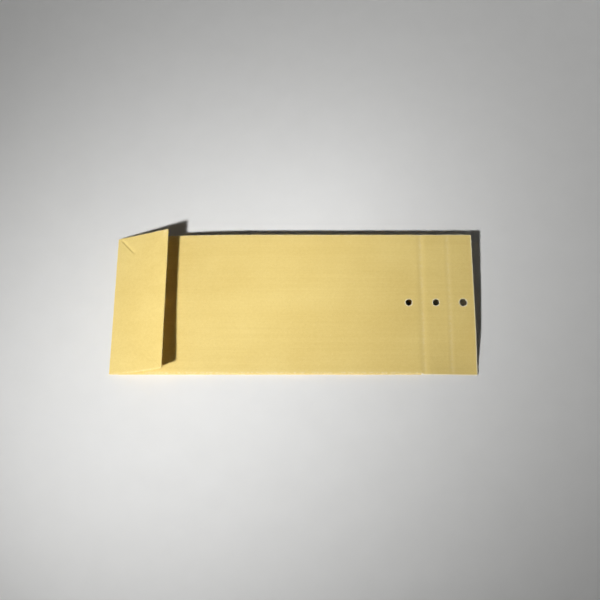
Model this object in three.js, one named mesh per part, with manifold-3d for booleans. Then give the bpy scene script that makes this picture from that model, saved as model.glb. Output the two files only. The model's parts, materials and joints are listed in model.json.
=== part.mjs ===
// Expansion clasp envelope in kraft paper, lying on its back.
// Millimetres. X runs from the folded block bottom to the tip of the closing flap,
// Y across the envelope from the near edge to the far edge, Z up from the back panel.
// The tube is back panel, two gusset plies on each side and front panel.
// Every crease that moves is the edge of a piece, and each piece hangs in a group on its crease.

import * as THREE from 'three';
import { mergeVertices } from 'three/addons/utils/BufferGeometryUtils.js';
import Module from 'manifold-3d';

const wasm = await Module();
wasm.setup();

// Paper
const paper = 0.3;
const glueFilm = 0.1;
const creaseGap = 0.3;
const layerGap = 0.3;

// Envelope
const width = 133;
const frontLength = 256.3;
const frontStart = 33;
const flapInnerLength = 25.4;
const flapOuterLength = 23.3;
const mouthSetback = 2.3;
const tipCornerRadius = 1.2;

// Gussets, as photographed: nearly shut along the near edge, sprung open along the far one
const gussetPly = 29;
const nearGussetAngle = 2.8;
const frontTilt = 3.5;
const gussetInset = 1.7;
const gussetEndSlope = 2;

// Block bottom, folded up over the front panel and standing partly open
const bottomLift = 26.5;
const bottomPivotHeight = 0.75;
const tuckDepth = 27;
const tuckFreeMargin = 10;
const tuckHingeMargin = 4;
const innerLeafStart = 7.5;
const innerLeafEnd = 37;
const innerLeafInset = 2;
const riserLength = 24;
const riserLean = 15;

// Seam of the tube, inside along the far edge of the back panel
const seamWidth = 16;
const seamMargin = 0.6;

// Punched holes, one inch apart: the creases of the closing flap lie midway between them
const holeFromTip = 10.6;
const holePitch = 25.4;
const tipHoleRadius = 3.5;
const holeRadius = 3;
const holeSegments = 40;

// Clasp on the back panel, under the first hole and where the folded flap brings its own hole
const claspRise = 1.2;
const claspDomeHalfX = 9.4;
const claspDomeHalfY = 21;
const claspDomeSlope = 3;
const eyeletBore = 2.1;
const eyeletWall = 0.5;
const eyeletFlange = 5.2;
const eyeletLip = 4.2;
const eyeletSheet = 0.3;
const eyeletPlay = 0.12;
const prongThickness = 0.35;
const prongWidth = 3.6;
const prongLength = 11.5;
const prongRoot = 2.3;
const prongGroundGap = 0.1;
const prongRib = 0.5;

// Values that follow from the ones above
const halfWidth = width / 2;
const bottomDepth = 2 * gussetPly;
const frontEnd = frontStart + frontLength;
const totalLength = frontEnd + flapInnerLength + flapOuterLength;
const tipHoleX = totalLength - holeFromTip;
const middleHoleX = tipHoleX - holePitch;
const claspX = middleHoleX - holePitch;
const mouthX = frontEnd - mouthSetback;
const plyOffset = layerGap / 2;
const seamTop = paper + glueFilm + paper;
const edgeHinge = seamTop + layerGap + plyOffset + paper / 2;
const gussetStart = frontStart + gussetInset;
const nearOpening = THREE.MathUtils.degToRad(nearGussetAngle);
const tilt = THREE.MathUtils.degToRad(frontTilt);
const frontHinge = edgeHinge + bottomDepth * Math.sin(nearOpening);
const frontMiddle = plyOffset + paper + layerGap + paper / 2;
const claspY = flapInnerLength * Math.sin(tilt);
const lift = THREE.MathUtils.degToRad(bottomLift);
const lean = THREE.MathUtils.degToRad(riserLean);

// Materials
const kraft = { color: 0xd9b877, roughness: 0.82, metalness: 0 };
const kraftInside = { color: 0xcfae70, roughness: 0.86, metalness: 0 };
const glue = { color: 0xe6dcc0, roughness: 0.6, metalness: 0 };
const brass = { color: 0xc9a35a, roughness: 0.35, metalness: 1 };

const envelope = new THREE.Group();
envelope.position.x = -totalLength / 2;

function addPiece(parent, name, geometry, finish) {
  const mesh = new THREE.Mesh(geometry, new THREE.MeshStandardMaterial(finish));
  mesh.name = name;
  parent.add(mesh);
  return mesh;
}

// A group on a crease: along the envelope when axis is x, across it when axis is y
function addHinge(parent, x, y, z, axis, angle) {
  const hinge = new THREE.Group();
  hinge.position.set(x, y, z);
  hinge.rotation[axis] = angle;
  parent.add(hinge);
  return hinge;
}

// Flat outline from corner points, each corner rounded where its radius is not zero
function outlineShape(corners) {
  const shape = new THREE.Shape();
  const count = corners.length;
  corners.forEach(([x, y, radius = 0], index) => {
    const [px, py] = corners[(index + count - 1) % count];
    const [nx, ny] = corners[(index + 1) % count];
    const before = Math.hypot(px - x, py - y);
    const after = Math.hypot(nx - x, ny - y);
    const startX = x + (px - x) * radius / before;
    const startY = y + (py - y) * radius / before;
    if (index === 0) shape.moveTo(startX, startY);
    else shape.lineTo(startX, startY);
    if (radius > 0) shape.quadraticCurveTo(x, y, x + (nx - x) * radius / after, y + (ny - y) * radius / after);
  });
  shape.closePath();
  return shape;
}

function rectangle(x0, x1, y0, y1) {
  return outlineShape([[x0, y0], [x1, y0], [x1, y1], [x0, y1]]);
}

function punch(shape, x, y, radius) {
  const hole = new THREE.Path();
  hole.absarc(x, y, radius, 0, 2 * Math.PI, true);
  shape.holes.push(hole);
}

// A sheet of paper: the outline, standing from height z to z plus its thickness
function sheet(shape, z, thickness = paper) {
  const geometry = new THREE.ExtrudeGeometry(shape, {
    depth: thickness,
    bevelEnabled: false,
    curveSegments: holeSegments / 2,
  });
  geometry.translate(0, 0, z);
  return geometry;
}

function toSolid(geometry) {
  geometry.deleteAttribute('normal');
  geometry.deleteAttribute('uv');
  const merged = mergeVertices(geometry, 1e-4);
  return new wasm.Manifold(new wasm.Mesh({
    numProp: 3,
    vertProperties: new Float32Array(merged.attributes.position.array),
    triVerts: new Uint32Array(merged.index.array),
  }));
}

function toGeometry(solid) {
  const mesh = solid.getMesh();
  const geometry = new THREE.BufferGeometry();
  geometry.setAttribute('position', new THREE.BufferAttribute(mesh.vertProperties, 3));
  geometry.setIndex(new THREE.BufferAttribute(mesh.triVerts, 1));
  geometry.computeVertexNormals();
  return geometry;
}

// Low dome with sloping sides: a box whose top corners are drawn in
function domeBlock(bottom, top) {
  const geometry = new THREE.BoxGeometry(2 * claspDomeHalfX, 2 * claspDomeHalfY, top - bottom);
  const corners = geometry.attributes.position;
  for (let i = 0; i < corners.count; i += 1) {
    if (corners.getZ(i) > 0) {
      corners.setX(i, Math.sign(corners.getX(i)) * (claspDomeHalfX - claspDomeSlope));
      corners.setY(i, Math.sign(corners.getY(i)) * (claspDomeHalfY - claspDomeSlope));
    }
  }
  geometry.translate(claspX, claspY, (top + bottom) / 2);
  return geometry;
}

// Back panel: a flat sheet that rises over the clasp, so that the bent prongs lie flush under it
function backPanel() {
  const blank = toSolid(sheet(rectangle(0, mouthX, -halfWidth, halfWidth), 0));
  const dome = toSolid(domeBlock(0, claspRise + paper));
  const hollow = toSolid(domeBlock(-paper, claspRise));
  const bore = new THREE.CylinderGeometry(holeRadius, holeRadius, 4 * claspRise, holeSegments);
  bore.rotateX(Math.PI / 2);
  bore.translate(claspX, claspY, claspRise);
  return toGeometry(blank.add(dome).subtract(hollow).subtract(toSolid(bore)));
}

addPiece(envelope, 'back_panel', backPanel(), kraft);

// Seam: the last strip of the tube, glued down inside along the far edge
function addSeam() {
  const outer = halfWidth - seamMargin;
  const strip = rectangle(gussetStart, mouthX - seamMargin, outer - seamWidth, outer);
  const film = rectangle(gussetStart, mouthX - seamMargin, outer - seamWidth + seamMargin, outer - seamMargin);
  addPiece(envelope, 'seam_adhesive', sheet(film, paper, glueFilm), glue);
  addPiece(envelope, 'seam_lap', sheet(strip, paper + glueFilm), kraftInside);
}

addSeam();

// Clasp eyelet: flange inside the envelope, barrel through the paper, lip outside
function eyelet() {
  const barrel = eyeletBore + eyeletWall;
  const lipTop = claspRise - eyeletPlay;
  const lipBottom = lipTop - eyeletSheet;
  const flangeBottom = claspRise + paper + eyeletPlay;
  const flangeTop = flangeBottom + eyeletSheet;
  const profile = [
    [eyeletBore, lipBottom], [eyeletLip, lipBottom], [eyeletLip, lipTop], [barrel, lipTop],
    [barrel, flangeBottom], [eyeletFlange, flangeBottom], [eyeletFlange, flangeTop],
    [eyeletBore, flangeTop], [eyeletBore, lipBottom],
  ].map(([radius, z]) => new THREE.Vector2(radius, z));
  const geometry = new THREE.LatheGeometry(profile, holeSegments);
  geometry.rotateX(Math.PI / 2);
  geometry.translate(claspX, claspY, 0);
  return geometry;
}

addPiece(envelope, 'clasp_base', eyelet(), brass);

// Prong: a flat tongue with a round tip, bent out along the paper from its root
function prong(side) {
  const half = prongWidth / 2;
  const shape = new THREE.Shape();
  shape.moveTo(-half, 0);
  shape.lineTo(-half, side * (prongLength - half));
  shape.absarc(0, side * (prongLength - half), half, Math.PI, 0, side > 0);
  shape.lineTo(half, 0);
  shape.closePath();
  const slot = new THREE.Path();
  const ribEnd = prongLength - prongWidth;
  slot.moveTo(-prongRib, side * prongWidth / 2);
  slot.lineTo(prongRib, side * prongWidth / 2);
  slot.lineTo(prongRib, side * ribEnd);
  slot.lineTo(-prongRib, side * ribEnd);
  slot.closePath();
  shape.holes.push(slot);
  return sheet(shape, -prongThickness / 2, prongThickness);
}

for (const [name, side] of [['clasp_prong_near', -1], ['clasp_prong_far', 1]]) {
  const rootY = claspY + side * prongRoot;
  const root = addHinge(envelope, claspX, rootY, prongGroundGap + prongThickness / 2, 'x', 0);
  addPiece(root, name, prong(side), brass);
}

// Lower gusset ply: its outer edge on the crease at y = 0, its inner edge towards the middle.
// It lies just under the line between its creases and the upper ply just over it, and both are cut
// on a slant at the mouth. At the bottom the lower ply ends on its fold at 45 degrees.
function lowerPlyShape(inward) {
  const inner = inward * gussetPly;
  return outlineShape([
    [gussetStart - gussetPly, 0], [mouthX, 0],
    [mouthX - gussetEndSlope, inner], [gussetStart, inner],
  ]);
}

const lowerPly = -plyOffset - paper;
const upperPly = plyOffset;

// Each gusset is an isosceles pair of plies between the back panel's edge and the front panel's edge
function addGusset(label, side, frontEdge) {
  const inward = -side;
  const foot = { y: side * halfWidth, z: edgeHinge };
  const rise = frontEdge.z - foot.z;
  const shift = inward * (frontEdge.y - foot.y);
  const half = Math.asin(Math.hypot(rise, shift) / bottomDepth);
  const slant = Math.atan2(shift, rise);
  const lowerAngle = half - slant;
  const upperAngle = half + slant;
  const innerY = foot.y + inward * gussetPly * Math.cos(lowerAngle);
  const innerZ = foot.z + gussetPly * Math.sin(lowerAngle);
  const lower = addHinge(envelope, 0, foot.y, foot.z, 'x', inward * lowerAngle);
  addPiece(lower, `${label}_gusset_lower`, sheet(lowerPlyShape(inward), lowerPly), kraftInside);
  const upper = addHinge(envelope, 0, innerY, innerZ, 'x', -inward * upperAngle);
  const upperShape = outlineShape([
    [gussetStart, 0], [mouthX - gussetEndSlope, 0],
    [mouthX, -inward * gussetPly], [gussetStart, -inward * gussetPly],
  ]);
  addPiece(upper, `${label}_gusset_upper`, sheet(upperShape, upperPly), kraftInside);
}

const nearFrontEdge = { y: -halfWidth, z: frontHinge };
const farFrontEdge = { y: -halfWidth + width * Math.cos(tilt), z: frontHinge + width * Math.sin(tilt) };
addGusset('near', -1, nearFrontEdge);
addGusset('far', 1, farFrontEdge);

// Front panel with the first punched hole, then the closing flap in two leaves, all in one plane
// that rises from the near edge to the far edge. Here y runs from the near edge across the sheet.
// The flap goes on from the front panel in a single sheet, and each crease is a small gap.
const front = addHinge(envelope, 0, nearFrontEdge.y, nearFrontEdge.z, 'x', tilt);

function frontShape() {
  const shape = rectangle(frontStart, frontEnd - creaseGap / 2, 0, width);
  punch(shape, claspX, halfWidth, holeRadius);
  return shape;
}

addPiece(front, 'front_panel', sheet(frontShape(), frontMiddle - paper / 2), kraft);

function addClosingFlap() {
  const first = addHinge(front, frontEnd, 0, frontMiddle, 'y', 0);
  const inner = rectangle(creaseGap / 2, flapInnerLength - creaseGap / 2, 0, width);
  punch(inner, middleHoleX - frontEnd, halfWidth, holeRadius);
  addPiece(first, 'closing_flap_inner', sheet(inner, -paper / 2), kraft);
  const second = addHinge(first, flapInnerLength, 0, 0, 'y', 0);
  const outer = outlineShape([
    [creaseGap / 2, 0], [flapOuterLength, 0, tipCornerRadius],
    [flapOuterLength, width, tipCornerRadius], [creaseGap / 2, width],
  ]);
  punch(outer, tipHoleX - frontEnd - flapInnerLength, halfWidth, tipHoleRadius);
  addPiece(second, 'closing_flap_outer', sheet(outer, -paper / 2), kraft);
}

addClosingFlap();

// Corner tuck: the gusset's end folded at 45 degrees into a triangle under the bottom panel
function tuckShape(side) {
  const edge = side * (halfWidth - creaseGap);
  const apex = edge - side * tuckDepth;
  const start = tuckHingeMargin;
  const end = bottomDepth - tuckFreeMargin;
  const middle = bottomDepth / 2;
  const startEdge = edge - side * (start - creaseGap);
  return outlineShape([
    [start, edge], [end, edge], [end, edge - side * (bottomDepth - end - creaseGap)],
    [middle, apex], [start, startEdge],
  ]);
}

// Block bottom: an outer sheet over the whole depth, the corner tucks and a line of glue under it,
// and the inner leaf under those. The riser comes back down from the free edge to the front panel,
// with its lower edge cut to the front panel's tilt.
function addBottom() {
  const bottom = addHinge(envelope, 0, 0, bottomPivotHeight, 'y', -lift);
  const panel = rectangle(creaseGap, bottomDepth - creaseGap, -halfWidth, halfWidth);
  const layerStep = paper + layerGap;
  addPiece(bottom, 'bottom_panel', sheet(panel, -paper / 2), kraft);
  addPiece(bottom, 'corner_tuck_near', sheet(tuckShape(-1), -paper / 2 - layerStep), kraftInside);
  addPiece(bottom, 'corner_tuck_far', sheet(tuckShape(1), -paper / 2 - layerStep), kraftInside);
  const glueHalf = halfWidth - tuckDepth - innerLeafInset;
  const line = rectangle(innerLeafStart, innerLeafEnd - innerLeafInset, -glueHalf, glueHalf);
  addPiece(bottom, 'bottom_adhesive', sheet(line, -paper / 2 - layerStep), glue);
  const leafHalf = halfWidth - innerLeafInset;
  const leaf = rectangle(innerLeafStart, innerLeafEnd, -leafHalf, leafHalf);
  addPiece(bottom, 'bottom_inner_leaf', sheet(leaf, -paper / 2 - 2 * layerStep), kraftInside);
  const freeEdge = addHinge(bottom, bottomDepth, 0, -layerStep, 'y', -Math.PI - lean);
  const skew = halfWidth * Math.sin(tilt) / Math.sin(lift + lean);
  const riser = outlineShape([
    [creaseGap, -halfWidth], [riserLength + skew, -halfWidth],
    [riserLength - skew, halfWidth], [creaseGap, halfWidth],
  ]);
  addPiece(freeEdge, 'bottom_riser', sheet(riser, -paper / 2), kraft);
}

addBottom();

export default envelope;
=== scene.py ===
import json
import math

import bpy
import numpy as np
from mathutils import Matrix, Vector


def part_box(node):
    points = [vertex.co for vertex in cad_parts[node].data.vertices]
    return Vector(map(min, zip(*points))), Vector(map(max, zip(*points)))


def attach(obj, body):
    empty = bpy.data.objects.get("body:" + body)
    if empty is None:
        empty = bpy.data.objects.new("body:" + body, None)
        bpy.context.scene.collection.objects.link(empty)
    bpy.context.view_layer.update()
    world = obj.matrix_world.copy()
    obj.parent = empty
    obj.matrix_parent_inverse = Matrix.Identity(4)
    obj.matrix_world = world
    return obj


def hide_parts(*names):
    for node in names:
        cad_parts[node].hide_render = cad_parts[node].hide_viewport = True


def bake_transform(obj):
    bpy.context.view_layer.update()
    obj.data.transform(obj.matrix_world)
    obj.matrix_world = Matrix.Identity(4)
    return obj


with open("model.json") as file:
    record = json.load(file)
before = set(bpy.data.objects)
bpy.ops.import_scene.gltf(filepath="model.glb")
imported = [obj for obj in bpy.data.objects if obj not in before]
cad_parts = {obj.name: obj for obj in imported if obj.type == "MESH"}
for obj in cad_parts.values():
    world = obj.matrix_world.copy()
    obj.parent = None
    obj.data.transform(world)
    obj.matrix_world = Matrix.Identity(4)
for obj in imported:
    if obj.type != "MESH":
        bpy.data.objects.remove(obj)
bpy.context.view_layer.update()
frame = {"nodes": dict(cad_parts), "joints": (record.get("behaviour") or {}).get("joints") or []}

# Expansion clasp envelope in kraft paper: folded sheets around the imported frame, in metres.
mm = 0.001

# Creases of the frame, where the sheets meet: the joints' places at rest
jointAt = {joint["name"]: np.array(joint["pos_m"]) for joint in frame["joints"]}
backEdge = jointAt["back_far_crease"]
nearFold = jointAt["front_near_crease"]
farFold = jointAt["front_far_crease"]
nearInner = jointAt["near_gusset_crease"]
bottomFold = jointAt["bottom_lift"]
freeFold = jointAt["riser_fold"]
creaseA = jointAt["flap_first_crease"]
creaseB = jointAt["flap_second_crease"]
claspNear = jointAt["clasp_near_bend"]
claspFar = jointAt["clasp_far_bend"]

envelope = {
    "paper": 0.3 * mm,          # thickness of one sheet
    "plyOffset": 0.3 * mm,      # middle of a gusset ply from the line between its creases
    "frontOffset": 0.9 * mm,    # middle of the front sheet from its creases
    "step": 1.9 * mm,           # widest grid spacing on a flat sheet
    "cutEdge": 1.2 * mm,        # pale band along a cut edge
    "wornFold": 0.8 * mm,       # half of the worn band along a fold
    "foldWear": 0.8,            # how worn it is, from 0 to 1
    "butt": 1.5 * mm,           # how far past a fold two pieces meet
    "outerFold": 0.1 * mm,      # where a ply's flat ends before an outer crease
    "innerFold": 0.6 * mm,      # and before the inner crease
    "backInset": 1.0 * mm,      # start of the back's flat, in from the bottom's fold
    "flapBand": 3.0 * mm,       # half of the bending band at a flap crease
}
halfWidth = backEdge[1]
width = 2 * halfWidth
frontTilt = math.atan2(farFold[2] - nearFold[2], farFold[1] - nearFold[1])
frontAlong = np.array([0, math.cos(frontTilt), math.sin(frontTilt)])
frontNormal = np.array([0, -math.sin(frontTilt), math.cos(frontTilt)])
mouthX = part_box("back_panel")[1].x
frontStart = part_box("front_panel")[0].x
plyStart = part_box("near_gusset_upper")[0].x
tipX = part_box("closing_flap_outer")[1].x
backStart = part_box("back_panel")[0].x
backFlat = backStart + envelope["backInset"]
paperHalf = envelope["paper"] / 2


# Eased step: 3 t^2 - 2 t^3 between 0 and 1, level outside
def smooth(t):
    t = np.clip(t, 0, 1)
    return t * t * (3 - 2 * t)


# Bell: e to the power of -t^2
def bump(t):
    return np.exp(-t * t)


nearest = 0.04 * mm     # two grid lines closer than this become one

# Closer grid lines: how far each way from a place, and how far apart
closer = {
    "gussetMouth": (3 * mm, 0.5 * mm), "backMouth": (1.2 * mm, 0.4 * mm), "rim": (1.6 * mm, 0.4 * mm),
    "frontEnd": (5 * mm, 0.6 * mm), "bend": (6 * mm, 0.6 * mm), "score": (2.6 * mm, 0.2 * mm),
}


# Grid lines between two ends: at most step apart, closer round each (place, reach, fine step), and
# with a line exactly on each side of a hole (place, reach)
def gridLines(start, end, step, fine=(), hole=None):
    lines = [np.linspace(start, end, max(2, int(math.ceil((end - start) / step)) + 1))]
    for place, reach, small in fine:
        low, high = max(start, place - reach), min(end, place + reach)
        if high > low:
            count = max(2, int(round((high - low) / small)) + 1)
            lines = [line[(line < low) | (line > high)] for line in lines]
            lines.append(np.linspace(low, high, count))
    keep = [start, end]
    if hole is not None:
        keep += [hole[0] - hole[1], hole[0] + hole[1]]
    merged = np.concatenate(lines)
    free = np.all(np.abs(merged[:, None] - np.array(keep)) > nearest, axis=1)
    merged = np.sort(np.concatenate([merged[free], keep]))
    return merged[np.concatenate([[True], np.diff(merged) > 1e-7])]


# Rings of quads round a hole: how many, and the power that draws them closer to it
rings = {"count": 8, "power": 1.7}


# Plan of a sheet: a grid of points (u, v) and its quads. Each hole (u, v, radius, reach) takes out
# a square of the grid, and rings of quads lead from there to the circle.
def sheetPlan(us, vs, holes=()):
    rows, cols = len(us), len(vs)
    points = np.stack(np.meshgrid(us, vs, indexing="ij"), -1).reshape(-1, 2)
    index = np.arange(rows * cols).reshape(rows, cols)
    quads = np.stack([index[:-1, :-1], index[1:, :-1], index[1:, 1:], index[:-1, 1:]], -1)
    quads = quads.reshape(-1, 4)
    for u, v, radius, reach in holes:
        centre = points[quads].mean(1) - (u, v)
        quads = quads[np.abs(centre).max(1) > reach]
        i0, i1 = np.searchsorted(us, [u - reach - 1e-7, u + reach - 1e-7])
        j0, j1 = np.searchsorted(vs, [v - reach - 1e-7, v + reach - 1e-7])
        ring = np.concatenate([
            index[i0:i1, j0], index[i1, j0:j1], index[i1:i0:-1, j1], index[i0, j1:j0:-1],
        ])
        corner = points[ring] - (u, v)
        circle = corner / np.linalg.norm(corner, axis=1)[:, None] * radius
        for t in 1 - (1 - np.linspace(0, 1, rings["count"] + 1)[1:]) ** rings["power"]:
            fresh = len(points) + np.arange(len(ring))
            points = np.concatenate([points, (u, v) + corner * (1 - t) + circle * t])
            around = np.roll(ring, -1), np.roll(fresh, -1)
            quads = np.concatenate([quads, np.stack([ring, around[0], around[1], fresh], 1)])
            ring = fresh
    used, inverse = np.unique(quads, return_inverse=True)
    return points[used], inverse.reshape(-1, 4)


# Normal at each point of a mesh of quads: the sum of its quads' normals, made one long
def pointNormals(points, quads):
    corners = points[quads]
    normal = np.cross(corners[:, 2] - corners[:, 0], corners[:, 3] - corners[:, 1])
    total = np.zeros_like(points)
    for k in range(4):
        np.add.at(total, quads[:, k], normal)
    return total / np.maximum(np.linalg.norm(total, axis=1), 1e-20)[:, None]


# Edges that only one quad has, in that quad's direction
def borderEdges(quads):
    edges = np.concatenate([quads[:, [k, (k + 1) % 4]] for k in range(4)])
    edges = edges[edges[:, 0] != edges[:, 1]]
    _, inverse, counts = np.unique(np.sort(edges, 1), axis=0, return_inverse=True,
                                   return_counts=True)
    return edges[counts[inverse.ravel()] == 1]


# Sheet with thickness: the surface moved out by half along its normals, the same surface moved
# in and turned over, and a strip of quads along every border edge
def thicken(points, quads, half):
    normal = pointNormals(points, quads)
    border = borderEdges(quads)
    count = len(points)
    solid = np.concatenate([points + normal * half, points - normal * half])
    rim = np.stack([border[:, 1], border[:, 0], border[:, 0] + count, border[:, 1] + count], 1)
    return solid, np.concatenate([quads, quads[:, ::-1] + count, rim])


# New object in the scene
def addObject(name, data):
    made = bpy.data.objects.new(name, data)
    bpy.context.scene.collection.objects.link(made)
    return made


# Mesh object from points and quads, smooth but for edges sharper than the angle, with one float
# attribute for each entry of marks
def meshPiece(name, points, quads, finish, marks=None, sharp=50):
    mesh = bpy.data.meshes.new(name)
    faces = [list(dict.fromkeys(q)) for q in quads.tolist()]
    mesh.from_pydata(points.tolist(), [], [f for f in faces if len(f) > 2])
    mesh.update()
    mesh.shade_smooth()
    mesh.set_sharp_from_angle(angle=math.radians(sharp))
    for key, values in (marks or {}).items():
        attribute = mesh.attributes.new(key, "FLOAT", "POINT")
        attribute.data.foreach_set("value", np.asarray(values, np.float32))
    mesh.materials.append(finish)
    return addObject(name, mesh)


# Paper piece: the plan placed by surface(u, v), thickened, and marked with its pale cut edges by
# cuts(u, v) and its worn places by wear(u, v), which on the bottom also carries a painted highlight
def paperPiece(name, us, vs, surface, finish, holes=(), cuts=None, wear=None):
    plan, quads = sheetPlan(us, vs, holes)
    u, v = plan.T
    points, faces = thicken(surface(u, v), quads, paperHalf)
    edge = np.zeros(len(plan)) if cuts is None else cuts(u, v)
    for hu, hv, radius, _ in holes:
        edge = np.maximum(edge, cutBand(np.hypot(u - hu, v - hv) - radius))
    wearAndHighlight = np.zeros(len(plan)) if wear is None else wear(u, v)
    marks = {"cutEdge": np.tile(edge, 2), "wear": np.tile(wearAndHighlight, 2)}
    return meshPiece(name, points, faces, finish, marks)


# Share of the pale cut band at a distance from the cut: one at the cut, none past cutEdge
def cutBand(distance):
    return 1 - smooth(distance / envelope["cutEdge"])


# Wear at a distance from a fold: a bell
def foldWear(distance):
    return bump(distance / envelope["wornFold"]) * envelope["foldWear"]


# Cubic curve from p0 to p1 with the handles a and b, at t
def cubic(t, p0, a, b, p1):
    return (1 - t) ** 3 * p0 + 3 * (1 - t) ** 2 * t * a + 3 * (1 - t) * t * t * b + t ** 3 * p1


# Points of a cubic from p0 to p1 that leaves along t0 and arrives along t1
def foldCurve(p0, t0, p1, t1, handle, count=14):
    p0, t0, p1, t1 = (np.array(p, float) for p in (p0, t0, p1, t1))
    return cubic(np.linspace(0, 1, count)[:, None], p0, p0 + t0 * handle, p1 - t1 * handle, p1)


# Path of points in a plane, read by its own length q; the length is zero at point number origin
class Path:
    def __init__(self, points, origin=0):
        self.points = np.array(points)
        steps = np.linalg.norm(np.diff(self.points, axis=0), axis=1)
        self.q = np.concatenate([[0], np.cumsum(steps)])
        self.q = self.q - self.q[origin]

    def at(self, q):
        return np.stack([np.interp(q, self.q, self.points[:, k]) for k in range(2)], -1)

    # Unit vector square to the path: its direction over a short step, turned left
    def across(self, q):
        step = 0.05 * mm
        along = self.at(q + step) - self.at(q - step)
        along = along / np.maximum(np.linalg.norm(along, axis=1), 1e-12)[:, None]
        return np.stack([-along[:, 1], along[:, 0]], -1)


# Paths one after another, with a shared end point kept once
def joinPaths(*parts):
    joined = [parts[0]]
    for part in parts[1:]:
        near = np.linalg.norm(part[0] - joined[-1][-1]) < 1e-9
        joined.append(part[1:] if near else part)
    return np.concatenate(joined)


print("frame: tilt %.2f degrees, mouth %.4f m" % (math.degrees(frontTilt), mouthX))


# Value or link for one input of a node
def setInput(node, key, value):
    if isinstance(value, Wire):
        value.tree.links.new(value.socket, node.inputs[key])
    else:
        node.inputs[key].default_value = value


# Shader arithmetic: a socket that takes part in ordinary expressions
class Wire:
    def __init__(self, tree, socket):
        self.tree = tree
        self.socket = socket

    # Any node: its settings first, then the values or links of its sockets
    def node(self, kind, settings, inputs, output=0):
        made = self.tree.nodes.new(kind)
        for key, value in settings.items():
            setattr(made, key, value)
        for key, value in inputs.items():
            setInput(made, key, value)
        return Wire(self.tree, made.outputs[output])

    def __add__(self, other):
        return self.node("ShaderNodeMath", {"operation": "ADD"}, {0: self, 1: other})

    def __mul__(self, other):
        return self.node("ShaderNodeMath", {"operation": "MULTIPLY"}, {0: self, 1: other})

    # Eased step from low to high
    def band(self, low, high):
        settings = {"interpolation_type": "SMOOTHSTEP"}
        return self.node("ShaderNodeMapRange", settings, {0: self, 1: low, 2: high})

    # Noise at the coordinates times stretch
    def noise(self, stretch, scale, detail=3, rough=0.55):
        place = self.node("ShaderNodeMapping", {}, {"Vector": self, "Scale": stretch})
        inputs = {"Vector": place, "Scale": scale, "Detail": detail, "Roughness": rough}
        return self.node("ShaderNodeTexNoise", {}, inputs)

    # Colour between two, by this wire
    def blend(self, first, second):
        settings = {"data_type": "RGBA", "blend_type": "MIX"}
        return self.node("ShaderNodeMix", settings, {0: self, 6: first, 7: second}, 2)

    # Mark of the mesh with this name
    def mark(self, name):
        return self.node("ShaderNodeAttribute", {"attribute_name": name}, {}, 2)


# New material: itself, its shader, and a wire with the object coordinates
def newFinish(name):
    finish = bpy.data.materials.new(name)
    finish.use_nodes = True
    tree = finish.node_tree
    shader = tree.nodes["Principled BSDF"]
    place = tree.nodes.new("ShaderNodeTexCoord")
    return finish, shader, Wire(tree, place.outputs["Object"])


# Colour, roughness and relief of a shader
def setLook(shader, look, colour, rough, height):
    bumps = {"Strength": look["relief"], "Distance": look["reliefDepth"], "Height": height}
    setInput(shader, "Base Color", colour)
    setInput(shader, "Roughness", rough)
    setInput(shader, "Normal", height.node("ShaderNodeBump", {}, bumps))


kraftLook = {
    "base": (0.82, 0.640, 0.230, 1),
    "dark": (0.71, 0.522, 0.158, 1),
    "pale": (0.93, 0.800, 0.480, 1),
    "cut": (0.96, 0.880, 0.660, 1),
    "fibre": (0.42, 0.265, 0.085, 1),
    "inside": (0.70, 0.505, 0.200, 1),
    # noises: stretch along the axes, scale, detail and roughness
    "cloud": ((1, 1, 1), 16, 2), "streak": ((3, 150, 150), 1, 2), "fine": ((12, 900, 900), 1, 2),
    "clump": ((1, 1, 1), 420, 3, 0.6), "fibreOne": ((1, 5, 5), 900, 2, 0.5),
    "fibreTwo": ((5, 1, 5), 800, 2, 0.5),
    # low and high end of a step in a noise
    "toneStep": (0.3, 0.7), "clumpStep": (0.25, 0.75), "scuffStep": (0.35, 0.65),
    "darkOne": (0.66, 0.74), "darkTwo": (0.67, 0.75), "lightOne": (0.36, 0.28), "lightTwo": (0.35, 0.27),
    "cloudShare": 0.30, "streakShare": 0.16, "fineShare": 0.14, "clumpShare": 0.24,
    "fibreShare": 0.45, "paleShare": 0.35, "scuffShare": 0.75, "cutShare": 0.85,
    "roughness": 0.74, "roughShare": 0.12, "sheen": 0.32, "relief": 0.35, "reliefDepth": 0.00012,
    "clumpHeight": 0.5, "fibreHeight": 0.3, "fineHeight": 0.35,
}


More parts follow.
